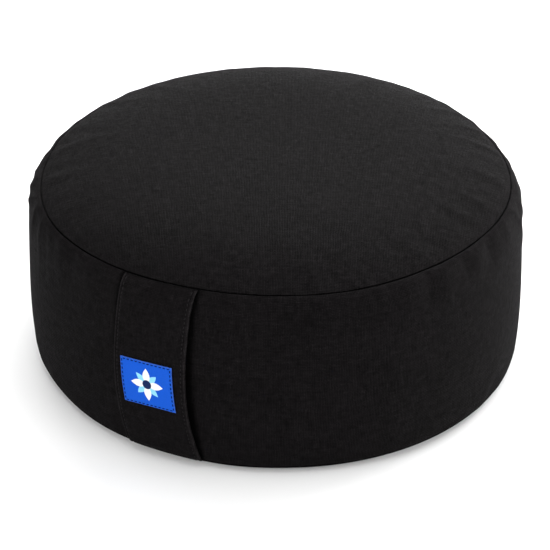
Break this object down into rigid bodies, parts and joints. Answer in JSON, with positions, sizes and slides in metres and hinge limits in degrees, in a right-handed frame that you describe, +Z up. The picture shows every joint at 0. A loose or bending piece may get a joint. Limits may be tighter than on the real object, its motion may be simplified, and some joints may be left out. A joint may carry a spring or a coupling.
{
  "type": "meditation cushion",
  "caption": "Round, firmly filled floor cushion with a crowned top, a swelled side band, an upright handle strap and a small sewn label.",
  "frame": {"origin": "centre of the flat base, on the surface that the cushion stands on", "axes": "+Z up through the crown; the pictured front faces -Y; the handle strap is at the front left, about 27 degrees round from -Y towards -X"},
  "size_m": [0.3298, 0.3315, 0.1451],
  "materials": {
    "canvas": "charcoal black plain-weave canvas, matt, with a soft sheen at grazing angles",
    "strap": "the same charcoal black canvas, folded and topstitched along both long edges",
    "label": "bright blue woven label with a plain pale motif and blue topstitching"
  },
  "bodies": {
    "root": {"cushion": "canvas", "handle_strap": "strap", "label": "label"}
  },
  "joints": []
}
